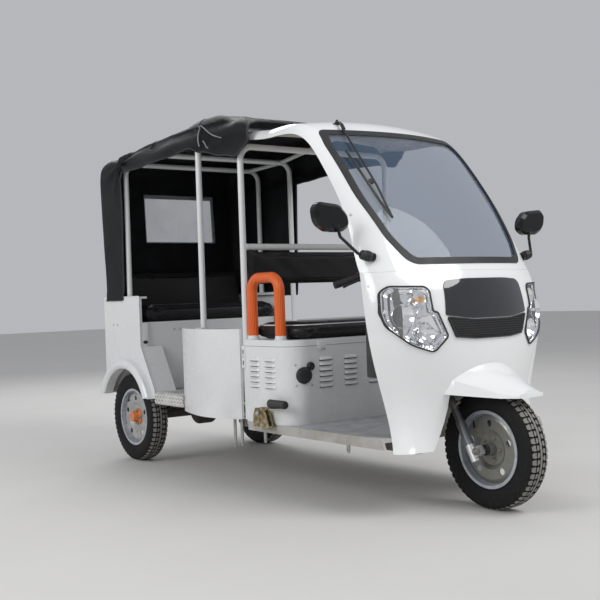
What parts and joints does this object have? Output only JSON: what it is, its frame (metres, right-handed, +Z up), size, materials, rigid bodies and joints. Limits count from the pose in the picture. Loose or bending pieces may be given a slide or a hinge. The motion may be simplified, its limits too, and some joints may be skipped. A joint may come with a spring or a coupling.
{
  "type": "auto rickshaw",
  "caption": "Three-wheeled passenger auto rickshaw with a moulded driver's cab, raked windshield, cloth canopy on bent tubes and a rear bench.",
  "frame": {"origin": "on the ground, midway between the front tyre's foremost point and the canopy's rear edge and midway across the mirrors", "axes": "+X forward along the vehicle, +Y to its left, +Z up"},
  "size_m": [3.043, 1.4516, 1.905],
  "materials": {
    "white_shell": "glossy white fibreglass, moulded",
    "white_panel": "gloss white paint on sheet steel",
    "white_tube": "gloss white paint on steel tube",
    "black_frame": "satin black paint",
    "black_plastic": "matt black, moulded",
    "gloss_black": "gloss black",
    "black_mesh": "black mesh",
    "floor_sheet": "light grey paint on ribbed sheet",
    "clear_glass": "clear laminated",
    "clear_sheet": "clear flexible sheet",
    "seal_rubber": "black rubber profile",
    "tyre_rubber": "black rubber with block tread",
    "rim_grey": "grey-silver paint",
    "fork_steel": "bright fork legs",
    "bar_steel": "plated tube",
    "seat_vinyl": "black vinyl",
    "canopy_cloth": "black coated cloth",
    "lamp_chrome": "bright reflector behind a clear lens",
    "lamp_red": "red lens",
    "guard_orange": "orange sleeve on a bent tube",
    "axle_iron": "black painted iron",
    "zinc_lever": "yellow passivated zinc",
    "engine_iron": "cast iron and alloy"
  },
  "bodies": {
    "chassis": {"chassis_frame": "black_frame", "driver_floor": "floor_sheet", "passenger_floor": "floor_sheet", "rear_side_right": "white_panel", "rear_side_left": "white_panel", "tail_panel": "white_panel", "rear_seat_box": "black_plastic", "rear_seat_cushion": "seat_vinyl", "rear_backrest": "seat_vinyl", "half_panel_right": "white_panel", "half_panel_left": "white_panel", "driver_seat_box": "white_panel", "driver_seat_lid": "white_panel", "driver_seat_cushion": "seat_vinyl", "driver_backrest": "seat_vinyl", "engine_block": "engine_iron", "driver_hoop": "white_tube", "canopy_frame": "white_tube", "seat_guard_right": "guard_orange", "seat_guard_left": "guard_orange", "canopy": "canopy_cloth", "rear_window": "clear_sheet", "cab_fairing": "white_shell", "front_fender": "white_shell", "cab_hood": "white_shell", "headlight_right": "lamp_chrome", "headlight_left": "lamp_chrome", "grille": "black_mesh", "nose_panel": "gloss_black", "windshield_seal": "seal_rubber", "windshield_glass": "clear_glass", "front_wheel_arch": "floor_sheet", "dashboard": "black_plastic", "mirror_right": "black_plastic", "mirror_left": "black_plastic", "rear_axle": "axle_iron", "leaf_springs": "axle_iron", "tail_lamp_right": "lamp_red", "tail_lamp_left": "lamp_red", "filler_cap": "black_plastic", "hand_lever": "zinc_lever", "wiper": "black_plastic"},
    "steering": {"front_fork": "fork_steel", "handlebar": "bar_steel", "instrument_pod": "black_plastic"},
    "front_wheel": {"tyre_front": "tyre_rubber", "rim_front": "rim_grey"},
    "rear_wheel_left": {"tyre_rear_left": "tyre_rubber", "rim_rear_left": "rim_grey"},
    "rear_wheel_right": {"tyre_rear_right": "tyre_rubber", "rim_rear_right": "rim_grey"}
  },
  "joints": [
    {"name": "steering", "type": "hinge", "parent": "chassis", "child": "steering", "pos_m": [1.2006, 0, 0.2165], "axis": [-0.4725, 0, 0.8813], "range_deg": [-35, 35]},
    {"name": "front_wheel_spin", "type": "hinge", "parent": "steering", "child": "front_wheel", "pos_m": [1.2595, 0, 0.262], "axis": [0, 1, 0], "continuous": true},
    {"name": "rear_wheel_left_spin", "type": "hinge", "parent": "chassis", "child": "rear_wheel_left", "pos_m": [-1.1805, 0.4475, 0.262], "axis": [0, 1, 0], "continuous": true},
    {"name": "rear_wheel_right_spin", "type": "hinge", "parent": "chassis", "child": "rear_wheel_right", "pos_m": [-1.1805, -0.4475, 0.262], "axis": [0, 1, 0], "continuous": true}
  ]
}
